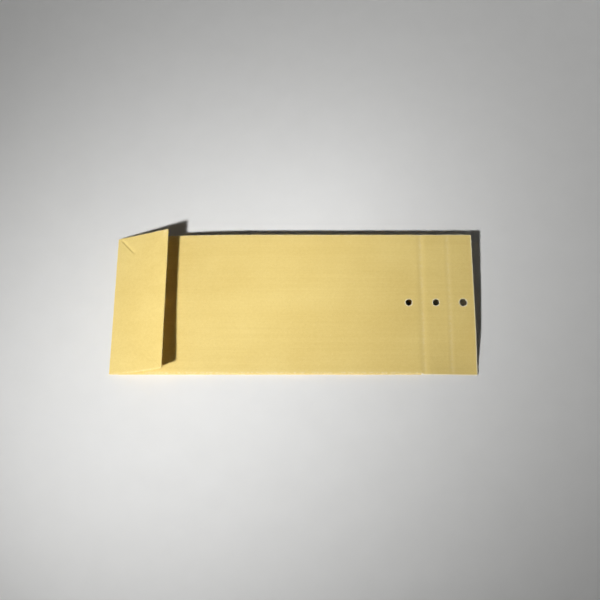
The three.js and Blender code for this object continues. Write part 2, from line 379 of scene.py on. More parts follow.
# Kraft paper: slow tone, mill streaks along the envelope, cloudy formation, fine fibres and a
# few dark specks, with a pale cut edge, paler worn folds and a painted highlight that the wear
# mark carries at the bottom's far free corner
def kraftFinish(name, base):
    finish, shader, place = newFinish(name)
    look = kraftLook
    names = ("cloud", "streak", "fine", "clump", "fibreOne", "fibreTwo")
    cloud, streak, fine, clump, fibreOne, fibreTwo = (place.noise(*look[kind]) for kind in names)
    tone = cloud.band(*look["toneStep"]) * look["cloudShare"]
    tone = tone + streak.band(*look["toneStep"]) * look["streakShare"]
    tone = tone + fine.band(*look["toneStep"]) * look["fineShare"]
    tone = tone + clump.band(*look["clumpStep"]) * look["clumpShare"]
    colour = tone.blend(base, look["dark"])
    specks = fibreOne.band(*look["darkOne"]) + fibreTwo.band(*look["darkTwo"])
    colour = (specks * look["fibreShare"]).blend(colour, look["fibre"])
    light = fibreOne.band(*look["lightOne"]) + fibreTwo.band(*look["lightTwo"])
    colour = (light * look["paleShare"]).blend(colour, look["pale"])
    # Paler where the wear mark is set: worn folds, and a painted highlight at the bottom's far free corner
    scuffAndHighlight = place.mark("wear") * clump.band(*look["scuffStep"])
    colour = (scuffAndHighlight * look["scuffShare"]).blend(colour, look["pale"])
    colour = (place.mark("cutEdge") * look["cutShare"]).blend(colour, look["cut"])
    height = clump * look["clumpHeight"] + fibreOne * look["fibreHeight"]
    height = height + fibreTwo * look["fibreHeight"] + fine * look["fineHeight"]
    setLook(shader, look, colour, clump * look["roughShare"] + look["roughness"], height)
    setInput(shader, "Specular IOR Level", look["sheen"])
    return finish


brassLook = {
    "base": (0.78, 0.57, 0.27, 1), "dull": (0.50, 0.34, 0.15, 1),
    "patch": ((1, 1, 1), 300, 3), "patchStep": (0.35, 0.75), "rub": ((400, 6000, 400), 1, 2),
    "roughness": 0.18, "patchShare": 0.25, "rubShare": 0.10, "relief": 0.2, "reliefDepth": 0.00003,
}


# Thin brass: brushed a little, with duller patches
def brassFinish():
    finish, shader, place = newFinish("stampedBrass")
    patch, rub = place.noise(*brassLook["patch"]), place.noise(*brassLook["rub"])
    colour = patch.band(*brassLook["patchStep"]).blend(brassLook["base"], brassLook["dull"])
    rough = patch * brassLook["patchShare"] + rub * brassLook["rubShare"] + brassLook["roughness"]
    setLook(shader, brassLook, colour, rough, rub)
    setInput(shader, "Metallic", 1.0)
    return finish


pasteLook = {
    "base": (0.78, 0.70, 0.52, 1), "dark": (0.66, 0.54, 0.33, 1), "patch": ((1, 1, 1), 250, 4),
    "patchStep": (0.3, 0.7), "roughness": 0.35, "patchShare": 0.3, "relief": 0.4, "reliefDepth": 0.0001,
}


# Dried paste: pale, a little glossy, uneven
def pasteFinish():
    finish, shader, place = newFinish("driedPaste")
    patch = place.noise(*pasteLook["patch"])
    colour = patch.band(*pasteLook["patchStep"]).blend(pasteLook["base"], pasteLook["dark"])
    rough = patch * pasteLook["patchShare"] + pasteLook["roughness"]
    setLook(shader, pasteLook, colour, rough, patch)
    return finish


kraftOutside = kraftFinish("kraftOutside", kraftLook["base"])
kraftInside = kraftFinish("kraftInside", kraftLook["inside"])
stampedBrass = brassFinish()
driedPaste = pasteFinish()
print("finishes made")


# The front's relief, its end by the bottom, and how the closing flap hangs and springs out
front = {
    "crown": 0.55 * mm, "flapCrown": 0.35, "crownReach": 40 * mm,
    "wave": 0.05 * mm, "waveTurn": 23, "sway": 2.1, "swayTurn": 7,
    "ripple": 0.6, "rippleTurn": 51, "rippleDrift": 11,
    # place, depth and reach of the two score lines, and the ridges beside them
    "grooves": ((creaseA[0], 0.30 * mm, 4.2 * mm), (creaseB[0], 0.09 * mm, 2.6 * mm)),
    "grooveSlope": 1.6, "ridge": 0.04 * mm, "ridgeAt": 1.3, "ridgeWidth": 0.6,
    "scoreReach": 1.8 * mm, "scoreWear": 0.35,
    "endReach": 85 * mm, "arch": 1.6 * mm, "archLean": 0.6, "archRound": 0.8,
    "sink": 3.9 * mm, "sinkPower": 1.5,
    # how far, over what length along the flap, and from what distance in from the near edge
    "hang": (3.6 * mm, 52 * mm, 48 * mm), "spring": (0.9 * mm, 2.5 * mm, 12 * mm),
    "flapEdge": 0.55 * mm, "foldHandle": 0.50 * mm, "cornerRadius": 1.4 * mm,
    "reliefStart": 2 * mm, "blendLean": 0.06, "bendShare": 0.8,
}


# Height over the flat front: a crown that dies out at the edges, waves that run along X, and the
# two score lines as grooves with a small ridge on each side
def frontRelief(x, s):
    across = np.clip(s / width, 0, 1)
    arc = np.sin(np.pi * across)
    inFront = smooth((creaseA[0] - x) / front["crownReach"])
    crown = front["crown"] * arc ** 2 * (front["flapCrown"] + (1 - front["flapCrown"]) * inFront)
    wave = np.sin(across * front["waveTurn"] + front["sway"] * np.sin(x * front["swayTurn"]))
    wave = wave + front["ripple"] * np.sin(across * front["rippleTurn"] + x * front["rippleDrift"])
    height = crown + np.abs(front["wave"] * wave * arc)
    for place, depth, reach in front["grooves"]:
        d = (x - place) / reach
        ridge = front["ridge"] * bump((np.abs(d) - front["ridgeAt"]) / front["ridgeWidth"])
        height = height - depth * bump(front["grooveSlope"] * d) + ridge
    return height + endArch(x, across) - endSink(x, across)


# How near the bottom a place is: one at the front's start, easing to nothing at endReach
def endShare(x):
    return 1 - smooth((x - frontStart) / front["endReach"])


# Arch across the front by the bottom: half a sine wave, with its top nearer to the near side
def endArch(x, across):
    wave = np.sin(np.pi * across ** front["archLean"]) ** front["archRound"]
    return front["arch"] * wave * endShare(x)


# Sinking of the far side by the bottom: it grows with a power of the distance across
def endSink(x, across):
    return front["sink"] * across ** front["sinkPower"] * endShare(x)


# How far the closing flap hangs, or how far its near edge springs out where no gusset holds it in:
# each grows past the first crease over a length and dies out across over a reach
def flapMove(move, x, s):
    far, length, reach = front[move]
    begun = smooth((x - creaseA[0] + envelope["flapBand"]) / length)
    return far * begun * (1 - smooth(s / reach))


# Point of the front plane: x along, s from the near crease across, and the relief along its normal
def frontPoint(x, s):
    height = envelope["frontOffset"] + frontRelief(x, s)
    point = nearFold + s[:, None] * frontAlong + height[:, None] * frontNormal
    point[:, 0] = x
    return point


nearLowerLine = (np.array([-halfWidth, backEdge[2]]), nearInner[1:])
nearUpperLine = (nearInner[1:], nearFold[1:])
plyWidth = float(np.linalg.norm(nearLowerLine[1] - nearLowerLine[0]))


# Inner crease of the far gusset: where two plies of equal width from its outer creases meet
def innerCrease(foot, top, length):
    middle = (foot + top) / 2
    between = top - foot
    reach = math.sqrt(length ** 2 - (between @ between) / 4)
    inward = np.array([-between[1], between[0]]) / np.linalg.norm(between)
    return middle + inward * reach * (1 if inward[0] < 0 else -1)


farInner = innerCrease(backEdge[1:], farFold[1:], plyWidth)
farLowerLine = (backEdge[1:], farInner)
farUpperLine = (farInner, farFold[1:])


# Unit vectors of a line in the y-z plane: along it, and square to it on the upper side
def lineFrame(line):
    along = (line[1] - line[0]) / np.linalg.norm(line[1] - line[0])
    up = np.array([-along[1], along[0]])
    return along, up if up[1] > 0 else -up


# Middle of a ply: on the line between its creases, moved up or down by the ply offset
def plyPoint(line, distance, offset):
    along, up = lineFrame(line)
    return line[0] + along * distance + up * offset


gusset = {
    "outerHandle": 0.55 * mm, "innerHandle": 1.0 * mm, "mouthSlope": 2 * mm, "slantReach": 30 * mm,
    "lowerStep": 3 * mm, "upperStep": 4 * mm, "cornerReach": 2.2, "wornAt": 0.5 * mm,
    "startReach": 6 * mm, "startIn": 2 * mm,
}
mouthLines = ((mouthX, *closer["gussetMouth"]),)
slantStart = mouthX - gusset["slantReach"]
plyOffset = envelope["plyOffset"]


# Lower ply: a strip of the back panel, the outer fold and the ply up to the inner crease
def lowerPlyPath(line, side, last):
    along, _ = lineFrame(line)
    backStrip = (side * (halfWidth - envelope["butt"]), paperHalf)
    backEnd = (side * halfWidth, paperHalf)
    first = plyPoint(line, envelope["outerFold"], -plyOffset)
    fold = foldCurve(backEnd, (side, 0), first, along, gusset["outerHandle"])
    ply = [first, plyPoint(line, last, -plyOffset)]
    return joinPaths([backStrip, backEnd], fold, ply)


# Inner fold of a gusset: from the end of the lower ply's flat round to the upper ply's start
def innerTurn(lower, upper):
    start = plyPoint(lower, plyWidth - envelope["innerFold"], -plyOffset)
    end = plyPoint(upper, envelope["innerFold"], plyOffset)
    return foldCurve(start, lineFrame(lower)[0], end, lineFrame(upper)[0], gusset["innerHandle"])


# Sheets along X: the path gives y and z, and the grid's u runs along X. Both ends may be cut on a
# slant that follows the path's length from q0 to q1: the mouth end runs back by mouthSlope from
# slantStart on, and the bottom end runs in by corner, on the gusset's fold at 45 degrees.
def alongX(path, slant=None, corner=0.0):
    cornerLength = gusset["cornerReach"] * plyWidth

    def surface(u, q):
        x = u.copy()
        if slant is not None:
            q0, q1 = slant
            share = np.clip((q - q0) / (q1 - q0), 0, 1)
            run = smooth((u - slantStart) / (mouthX - slantStart))
            x = x - gusset["mouthSlope"] * share * run
            x = x + corner * share * (1 - np.clip((u - backStart) / cornerLength, 0, 1))
        yz = path.at(q)
        return np.stack([x, yz[:, 0], yz[:, 1]], -1)
    return surface


# Grid lines along a path: one at each of its points, and more where two are further than a step
def pathLines(path):
    out = [path.q[:1]]
    for a, b in zip(path.q[:-1], path.q[1:]):
        out.append(np.linspace(a, b, max(2, int(math.ceil((b - a) / envelope["step"])) + 1))[1:])
    return np.concatenate(out)


# Lower ply, which ends at the bottom on the fold at 45 degrees. The far one carries the inner fold
# too, since no joint joins the two far plies.
def makeLowerPly(side, line, label):
    lastPly = plyWidth - envelope["innerFold"]
    points = lowerPlyPath(line, side, lastPly)
    plyEnd = len(points) - 1
    if side > 0:
        points = joinPaths(points, innerTurn(line, farUpperLine))
    path = Path(points)
    end = path.q[plyEnd]
    surface = alongX(path, (end - lastPly, end), lastPly)
    lines = gridLines(backFlat, mouthX, gusset["lowerStep"], mouthLines)
    fold = envelope["butt"] + gusset["wornAt"]
    lower = paperPiece(label + "GussetLower", lines[::side], pathLines(path), surface, kraftOutside,
                       cuts=lambda u, q: cutBand(mouthX - u),
                       wear=lambda u, q: foldWear(q - fold))
    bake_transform(lower)
    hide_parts(label + "_gusset_lower")


# Near upper ply: from the lower ply's end round the inner fold and out to the butt with the front
def makeNearUpper():
    end = plyPoint(nearUpperLine, envelope["innerFold"], plyOffset)
    butt = plyPoint(nearUpperLine, plyWidth - envelope["butt"], plyOffset)
    path = Path(joinPaths(innerTurn(nearLowerLine, nearUpperLine), [end, butt]))
    surface = alongX(path, (path.q[-1], path.q[0]))
    lines = gridLines(plyStart, mouthX, gusset["upperStep"], mouthLines)
    upper = paperPiece("nearGussetUpper", lines[::-1], pathLines(path), surface, kraftInside,
                       cuts=lambda u, q: np.maximum(cutBand(mouthX - u), cutBand(u - plyStart)))
    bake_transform(upper)
    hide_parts("near_gusset_upper")


makeLowerPly(-1, nearLowerLine, "near")
makeLowerPly(1, farLowerLine, "far")
makeNearUpper()
print("gussets made")

clasp = {
    "holeRadius": 3 * mm, "holeReach": 7 * mm, "holeStep": 0.9 * mm, "baseReach": 6.3 * mm,
    "rise": 1.2 * mm, "domeX": 9.6 * mm, "domeY": 21 * mm, "domeSlope": 4.5 * mm,
    "domeRim": 1.5 * mm, "domeStepX": 0.9 * mm, "domeStepY": 1.0 * mm, "backStep": 2.4 * mm,
}
claspX = claspNear[0]
claspY = (claspNear[1] + claspFar[1]) / 2
holePitch = creaseB[0] - creaseA[0]
holeTwo = claspX + holePitch
holeThree = claspX + 2 * holePitch


# Section of the front, near to far: the near upper ply's last strip, the near fold, the flat
# front, the far fold and the far upper ply. Its length is zero where the flat front begins.
def frontSection():
    arrive, handle = frontAlong[1:], front["foldHandle"]
    nearEdge = nearFold[1:] + frontNormal[1:] * envelope["frontOffset"]
    farEdge = nearEdge + arrive * width
    strip = plyPoint(nearUpperLine, plyWidth - envelope["butt"], plyOffset)
    nearPly, farPly = (plyPoint(line, plyWidth - envelope["outerFold"], plyOffset)
                       for line in (nearUpperLine, farUpperLine))
    nearTurn = foldCurve(nearPly, lineFrame(nearUpperLine)[0], nearEdge, arrive, handle)
    farTurn = foldCurve(farEdge, arrive, farPly, -lineFrame(farUpperLine)[0], handle)
    bent = joinPaths([strip, nearPly], nearTurn)
    ply = [farPly, plyPoint(farUpperLine, envelope["innerFold"], plyOffset)]
    whole = joinPaths(bent, [nearEdge, farEdge], farTurn, ply)
    return Path(whole, origin=len(bent) - 1)


frontPath = frontSection()
farTurnEnd = frontPath.q[-2]


# Lines of a path between two of its lengths, both ends included
def partLines(path, low, high):
    inside = pathLines(path)
    inside = inside[(inside > low + nearest) & (inside < high - nearest)]
    return np.concatenate([[low], inside, [high]])


# Grid lines across the front's section from low to high, closer by the hole and at each in fine
def acrossLines(low, high, reach, fine=()):
    fine = (*fine, (halfWidth, reach, clasp["holeStep"]))
    flat = gridLines(0, width, envelope["step"], fine, (halfWidth, reach))
    nearLines, farLines = partLines(frontPath, low, 0), partLines(frontPath, width, high)
    return np.concatenate([nearLines[:-1], flat, farLines[1:]])


# Front sheet: from the strip of the near upper ply over the near fold, the flat front and round the
# far fold.
def makeFrontSheet():
    end = creaseA[0] - envelope["flapBand"]
    reach = clasp["holeReach"]
    fine = ((claspX, reach, clasp["holeStep"]), (end, *closer["frontEnd"]))
    us = gridLines(frontStart, end, envelope["step"], fine, (claspX, reach))
    qs = acrossLines(frontPath.q[0], farTurnEnd, reach)

    def surface(u, q):
        lift = frontRelief(u, q) * smooth(q / front["reliefStart"])
        return alongX(frontPath)(u, q) + lift[:, None] * frontNormal

    piece = paperPiece("frontSheet", us, qs, surface, kraftOutside,
                       wear=lambda u, q: foldWear(q) + foldWear(q - width),
                       holes=((claspX, halfWidth, clasp["holeRadius"], reach),))
    lean = frontNormal + front["blendLean"] * frontAlong
    tuple(nearFold + lean * 0.46 * mm)
    tuple(nearFold + lean * 0.73 * mm)
    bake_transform(piece)
    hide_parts("front_panel")


# Far upper ply, from the far fold in to the inner crease. It sinks with the front's far edge, less
# and less towards its inner crease, and its bottom end steps in from the front's start to the ply's.
def makeFarUpper():
    us = gridLines(frontStart, creaseA[0] - envelope["flapBand"], envelope["step"])
    qs = partLines(frontPath, farTurnEnd, frontPath.q[-1])

    def surface(u, q):
        base = alongX(frontPath)(u, q)
        away = q - farTurnEnd
        sink = endSink(u, 1.0) * (1 - away / plyWidth)
        inward = smooth(away / gusset["startIn"]) * (1 - smooth((u - frontStart) / gusset["startReach"]))
        base[:, 0] = base[:, 0] + inward * (plyStart - frontStart)
        return base - sink[:, None] * frontNormal

    piece = paperPiece("farGussetUpper", us, qs, surface, kraftInside)
    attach(piece, "far_upper")
    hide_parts("far_gusset_upper")


makeFrontSheet()
makeFarUpper()
print("front made")

flapLeaves = (
    {"name": "closingFlapInner", "node": "closing_flap_inner", "hole": holeTwo,
     "radius": clasp["holeRadius"], "reach": clasp["holeReach"],
     "crease": creaseA[0], "end": creaseB[0] - envelope["flapBand"], "bodies": ("front", "flap_inner")},
    {"name": "closingFlapOuter", "node": "closing_flap_outer", "hole": holeThree,
     "radius": 3.5 * mm, "reach": 6 * mm,
     "crease": creaseB[0], "end": tipX, "bodies": ("flap_inner", "flap_outer")},
)


# Tip corners drawn in to a small radius: places past the radius's centre on both axes move in to
# the circle, by the ratio of the larger distance to the length
def roundCorners(x, q, tip, edge):
    radius = front["cornerRadius"]
    start = halfWidth + edge - radius
    inX, inQ = x - (tip - radius), np.abs(q - halfWidth) - start
    near = (inQ > 0) & (inX > 0)
    scale = np.maximum(inQ, inX) / np.maximum(np.hypot(inQ, inX), 1e-12)
    drawn = halfWidth + np.sign(q - halfWidth) * (start + inQ * scale)
    return np.where(near, tip - radius + inX * scale, x), np.where(near, drawn, q)


# One leaf of the closing flap with its own crease band. It keeps the front's section, cut off on
# the outside of both folds, and its tip corners are drawn in.
def makeLeaf(leaf):
    band, edge, tip = envelope["flapBand"], front["flapEdge"], leaf["end"] == tipX
    bend = band * front["bendShare"]
    hole, reach, end, crease = leaf["hole"], leaf["reach"], leaf["end"], leaf["crease"]
    fine = ((crease, *closer["bend"]), (crease, *closer["score"]),
            (hole, reach, clasp["holeStep"]), (end, *closer["rim"]))
    us = gridLines(crease - band, end, envelope["step"], fine, (hole, reach))
    qs = acrossLines(-edge, width + edge, reach, ((0, *closer["rim"]), (width, *closer["rim"])))

    def surface(u, q):
        x, t = roundCorners(u, q, end, edge) if tip else (u, q)
        s = np.clip(t, 0, width)
        lift = frontRelief(x, s) - flapMove("hang", x, s)
        base = alongX(frontPath)(x, t) + lift[:, None] * frontNormal
        return base - flapMove("spring", x, s)[:, None] * frontAlong

    def wear(u, q):
        return bump((u - crease) / front["scoreReach"]) * front["scoreWear"]

    def cuts(u, q):
        side = np.maximum(cutBand(q + edge), cutBand(width + edge - q))
        return np.maximum(side, cutBand(end - u)) if tip else side

    piece = paperPiece(leaf["name"], us, qs, surface, kraftOutside, cuts=cuts, wear=wear,
                       holes=((hole, halfWidth, leaf["radius"], reach),))
    first, last = crease - bend, crease + bend
    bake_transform(piece)
    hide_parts(leaf["node"])


for leaf in flapLeaves:
    makeLeaf(leaf)
print("closing flap made")


# Back panel: flat on the table, rising in a smooth dome over the clasp
def makeBack():
    reach, rim = clasp["baseReach"], clasp["domeRim"]
    side = halfWidth - envelope["butt"]
    fine = ((claspX, clasp["domeX"] + rim, clasp["domeStepX"]), (mouthX, *closer["backMouth"]))
    us = gridLines(backFlat, mouthX, clasp["backStep"], fine, (claspX, reach))
    fine = ((claspY, clasp["domeY"] + rim, clasp["domeStepY"]),)
    vs = gridLines(-side, side, clasp["backStep"], fine, (claspY, reach))

    def surface(x, y):
        dx = (clasp["domeX"] - np.abs(x - claspX)) / clasp["domeSlope"]
        dy = (clasp["domeY"] - np.abs(y - claspY)) / clasp["domeSlope"]
        dome = clasp["rise"] * smooth(dx) * smooth(dy)
        return np.stack([x, y, paperHalf + dome], -1)

    piece = paperPiece("backSheet", us, vs, surface, kraftOutside,
                       holes=((claspX, claspY, clasp["holeRadius"], reach),),
                       cuts=lambda u, v: cutBand(mouthX - u))
    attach(piece, "back")
    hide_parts("back_panel")


makeBack()
print("back made")

bottom = {
    "layerStep": 0.6 * mm, "bow": 0.9 * mm, "bowRound": 0.8, "reliefStart": 3 * mm,
    "tuckStep": 0.13 * mm, "tuckFade": 1.2 * mm, "line": 0.66 * mm, "easy": 3.5, "fades": (2 * mm, 4 * mm),
    "sideBow": 1.0 * mm, "sideEven": 0.75, "sideLean": 0.25,
    "roll": 0.32 * mm, "rollAngle": 2.5, "rollStart": 4 * mm, "rollLeast": 0.1, "rollRows": 9,
    "foldStart": 1.1 * mm, "foldHandle": 1.15 * mm, "foldRows": 18,
    "freeStart": 0.6 * mm, "freeHandle": 0.95 * mm,
    "depthStep": 0.5 * mm, "acrossStep": 1.2 * mm, "edgeReach": 26 * mm, "edgeStep": 0.5 * mm,
    # wear at the fold and the sides; reach and strength of the painted highlight at the far free corner
    "wornAt": 1.3 * mm, "wornReach": 0.9 * mm, "wornCorner": 6 * mm,
    "foldWear": 0.7, "sideWear": 0.5, "cornerWear": 0.8,
}
reachX, reachZ = freeFold[0] - bottomFold[0], freeFold[2] - bottomFold[2]
bottomDepth = math.sqrt(reachX ** 2 + reachZ ** 2 - bottom["layerStep"] ** 2)
lift = math.atan2(reachZ, reachX) + math.atan2(bottom["layerStep"], bottomDepth)
bottomAlong = np.array([math.cos(lift), 0, math.sin(lift)])
bottomNormal = np.array([-math.sin(lift), 0, math.cos(lift)])
lastBottom = bottomFold + bottomAlong * (bottomDepth - bottom["freeStart"])

# Where a tuck's fold shows. The slack side of each line is wider than its reach by the factor easy,
# and its ends fade out over fades.
tuckLines = (
    # side, by the left end, strength, span from the side edge, off the corner, slope, reach
    (1, True, 1.0, (1 * mm, 15 * mm), 2.6 * mm, 1.0, 0.85 * mm),
    (1, False, 0.07, (6 * mm, 24 * mm), 0, 1.0, 0.8 * mm),
    (-1, True, 0.06, (6 * mm, 24 * mm), 0, 1.0, 0.8 * mm),
    (-1, False, 0.25, (6 * mm, 15 * mm), 0, 1.35, 1.5 * mm),
)


# Share of the bottom's depth at a distance from its fold, as half a sine wave
def depthWave(s):
    return np.sin(np.pi * np.clip(s / bottomDepth, 0, 1))


# How far the sides stand towards the near side: a bow along the depth, more on the near side
def sideBow(s, side):
    share = bottom["sideEven"] - bottom["sideLean"] * side
    return bottom["sideBow"] * depthWave(s) * share


# Height over the bottom's plane: a bow along its depth, and the corner tucks that print through as
# a low step and a groove along their diagonals
def bottomRelief(s, y):
    height = bottom["bow"] * depthWave(s) ** bottom["bowRound"]
    for side, left, strength, span, off, slope, reach in tuckLines:
        edge = halfWidth - side * y
        inside = (s if left else bottomDepth - s) - off - edge * slope
        begun, ended = (smooth((edge - at) / fade) for at, fade in zip(span, bottom["fades"]))
        slack = (inside if left else -inside) >= 0
        line = bump(inside / (reach * np.where(slack, bottom["easy"], 1)))
        height = height - bottom["line"] * strength * begun * (1 - ended) * line
    for side in (-1, 1):
        inside = np.minimum(s, bottomDepth - s) - (halfWidth - side * y)
        height = height + bottom["tuckStep"] * smooth(inside / bottom["tuckFade"] + 0.5)
    return height


# The x and z of a vector
def toXZ(vector):
    return np.array([vector[0], vector[2]])


# Rolled side edge, for a grid line that lies past the edge by its arc: how far out of the edge and
# how far down. The roll is a circle that grows from the left end on.
def sideRoll(q, y):
    radius = bottom["roll"] * np.clip(smooth(q / bottom["rollStart"]), bottom["rollLeast"], 1)
    angle = np.clip((np.abs(y) - halfWidth) / bottom["roll"], 0, bottom["rollAngle"])
    return radius * np.sin(angle), radius * (1 - np.cos(angle))


# Bottom: the back panel's end strip, the fold at the left end and the outer sheet up to the free edge
def makeBottom():
    backEnd, shift = (backFlat, paperHalf), bottom["foldStart"]
    first = toXZ(bottomFold + bottomAlong * shift)
    fold = foldCurve(backEnd, (-1, 0), first, toXZ(bottomAlong), bottom["foldHandle"], bottom["foldRows"])
    path = Path(joinPaths(fold, [first, toXZ(lastBottom)]), origin=len(fold) - 1)
    us = np.concatenate([path.q[path.q < -1e-9], gridLines(0, path.q[-1], bottom["depthStep"])])
    edges = [(place, bottom["edgeReach"], bottom["edgeStep"]) for place in (-halfWidth, halfWidth)]
    inner = gridLines(-halfWidth, halfWidth, bottom["acrossStep"], edges)
    arc = halfWidth + np.linspace(0, bottom["roll"] * bottom["rollAngle"], bottom["rollRows"])[1:]
    vs = np.concatenate([-arc[::-1], inner, arc])

    def surface(q, y):
        xz = path.at(q)
        flat = np.clip(y, -halfWidth, halfWidth)
        out, down = sideRoll(q, y)
        place = flat - sideBow(q, flat / halfWidth) + np.sign(y) * out
        point = np.stack([xz[:, 0], place, xz[:, 1]], -1)
        height = bottomRelief(np.clip(q + shift, 0, bottomDepth), flat)
        height = height * smooth(q / bottom["reliefStart"]) - down
        return point + height[:, None] * bottomNormal

    # Pale marks: the worn bottom fold and side edges, and a painted highlight at the far free corner
    def wear(q, y):
        folded = bump((q + bottom["wornAt"]) / bottom["wornReach"]) * bottom["foldWear"]
        sides = cutBand(halfWidth - np.abs(y)) * bottom["sideWear"]
        corner = np.hypot(q - path.q[-1], y - halfWidth)
        return folded + sides + bump(corner / bottom["wornCorner"]) * bottom["cornerWear"]

    piece = paperPiece("bottomSheet", us, vs, surface, kraftOutside, wear=wear)
    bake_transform(piece)
    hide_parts("bottom_panel")


makeBottom()


riser = {
    "start": 0.9 * mm, "bow": 0.8 * mm, "foot": 0.12 * mm, "step": 2 * mm, "turnRows": 14,
    "flatRows": 16, "wornReach": 0.35, "wear": 0.7,
}


# Riser: from the free edge round the fold and down to the front's start, ruled between the fold
# and a lower edge that follows the tilted front
def makeRiser():
    vs = gridLines(-halfWidth, halfWidth, riser["step"])
    us = np.concatenate([np.linspace(0, 1, riser["turnRows"]),
                         1 + np.linspace(0, 1, riser["flatRows"])[1:]])

    def surface(u, y):
        across = np.clip((y - nearFold[1]) / frontAlong[1], 0, width)
        foot = frontPoint(np.full(len(y), frontStart - riser["foot"]), across)
        down = foot - freeFold
        down[:, 1] = 0
        down = down / np.linalg.norm(down, axis=1)[:, None]
        top = freeFold + down * riser["start"]
        start = np.tile(lastBottom, (len(y), 1))
        top[:, 1] = start[:, 1] = foot[:, 1] = y
        handle = bottom["freeHandle"]
        t = np.clip(u, 0, 1)[:, None]
        turn = cubic(t, start, start + bottomAlong * handle, top - down * handle, top)
        k = np.clip(u - 1, 0, 1)[:, None]
        side = np.stack([down[:, 2], 0 * y, -down[:, 0]], -1)
        flat = top * (1 - k) + foot * k + side * np.sin(np.pi * k) * riser["bow"]
        return np.where(u[:, None] < 1, turn, flat)

    piece = paperPiece("bottomRiser", us, vs, surface, kraftOutside,
                       wear=lambda u, y: bump((u - 0.5) / riser["wornReach"]) * riser["wear"])
    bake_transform(piece)
    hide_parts("bottom_riser")


makeRiser()
print("bottom made")


web = {
    "out": 0.12 * mm, "cornerIn": 1.6 * mm, "cornerUp": 0.65 * mm, "freeBack": 0.7 * mm,
    "freeDown": 0.52 * mm, "frontDown": 0.35 * mm, "swell": -0.3 * mm, "swellEnd": 1.2,
    "rows": 22, "columns": 20, "last": 0.985,
}


# Triangle from the line a-b to the point c: ruled, swollen square to the bottom by a sine along the
# line and up to c, and bowed with the bottom's side where bow is one
def webPatch(a, b, c, side, bow):
    def surface(u, v):
        point = (a + u[:, None] * (b - a)) * (1 - v[:, None]) + c * v[:, None]
        swell = np.sin(np.pi * u) * (1 - v) * np.sin(np.pi * np.clip(v * web["swellEnd"], 0, 1))
        point = point + (web["swell"] * swell)[:, None] * bottomNormal
        point[:, 1] = point[:, 1] - bow * sideBow(u * bottomDepth, side) * (1 - v)
        return point
    return surface


# Gusset ends at the bottom: on each side one triangle from the bottom's edge in to the inner crease
# and one from there out to the riser's edge
def makeWebs():
    for side, inner, label in ((-1, nearInner[1:], "near"), (1, farInner, "far")):
        edgeY = side * (halfWidth + web["out"])
        corner = np.array([bottomFold[0] + web["cornerIn"], edgeY, web["cornerUp"]])
        apex = np.array([backStart + abs(halfWidth - abs(inner[0])), *inner])
        free = bottomFold + bottomAlong * (bottomDepth - web["freeBack"])
        free = free - bottomNormal * web["freeDown"]
        foot = frontPoint(np.array([frontStart]), np.array([0.0 if side < 0 else width]))[0]
        foot = foot - frontNormal * web["frontDown"]
        free[1] = foot[1] = edgeY
        us = np.linspace(0, 1, web["rows"])[::side]
        vs = np.linspace(0, web["last"], web["columns"])
        lowerSurface = webPatch(corner, free, apex, side, 1)
        lower = paperPiece(label + "WebLower", us, vs, lowerSurface, kraftOutside)
        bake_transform(lower)
        upperSurface = webPatch(free, foot, apex, side, 0)
        upper = paperPiece(label + "WebUpper", us, vs, upperSurface, kraftOutside)
        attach(upper, "riser")


makeWebs()
print("webs made")


# Mesh from a profile of (radius, height) points carried round an upright axis
def lathePiece(name, profile, finish, count, axis=(0, 0), closed=False, sharp=50):
    turn = np.linspace(0, 2 * np.pi, count, endpoint=False)
    radius, height = profile[:, 0], profile[:, 1]
    points = np.stack([
        axis[0] + np.outer(np.cos(turn), radius), axis[1] + np.outer(np.sin(turn), radius),
        np.tile(height, (count, 1)),
    ], -1).reshape(-1, 3)
    index = np.arange(len(points)).reshape(count, -1)
    across, along = np.roll(index, -1, 0), np.roll(index, -1, 1)
    quads = np.stack([index, across, np.roll(across, -1, 1), along], -1)
    quads = quads if closed else quads[:, :-1]
    return meshPiece(name, points, quads.reshape(-1, 4), finish, sharp=sharp)


# Closed profile with every corner rounded: a short curve from one side of the corner to the other
def roundedProfile(corners, radius, count):
    corners = np.array(corners)
    out = []
    for k, corner in enumerate(corners):
        before, after = corners[k - 1] - corner, corners[(k + 1) % len(corners)] - corner
        a = corner + before * min(0.5, radius / np.linalg.norm(before))
        b = corner + after * min(0.5, radius / np.linalg.norm(after))
        t = np.linspace(0, 1, count)[:, None]
        out.append((1 - t) ** 2 * a + 2 * (1 - t) * t * corner + t * t * b)
    return np.concatenate(out)


eyelet = {
    "bore": 2.1 * mm, "wall": 0.5 * mm, "sheet": 0.3 * mm, "lip": 4.2 * mm, "round": 0.28 * mm,
    "roundCount": 6, "turnCount": 72,
}


# Eyelet: a lip outside, a barrel through the paper and a flange inside, as one turned profile
def makeEyelet():
    low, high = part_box("clasp_base")
    bore, lip, flange = eyelet["bore"], eyelet["lip"], (high.x - low.x) / 2
    barrel = bore + eyelet["wall"]
    z0, z1 = low.z, low.z + eyelet["sheet"]
    z2, z3 = high.z - eyelet["sheet"], high.z
    corners = [(bore, z0), (lip, z0), (lip, z1), (barrel, z1),
               (barrel, z2), (flange, z2), (flange, z3), (bore, z3)]
    profile = roundedProfile(corners, eyelet["round"], eyelet["roundCount"])
    ring = lathePiece("claspEyelet", profile, stampedBrass, eyelet["turnCount"],
                      (claspX, claspY), closed=True, sharp=60)
    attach(ring, "back")
    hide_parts("clasp_base")


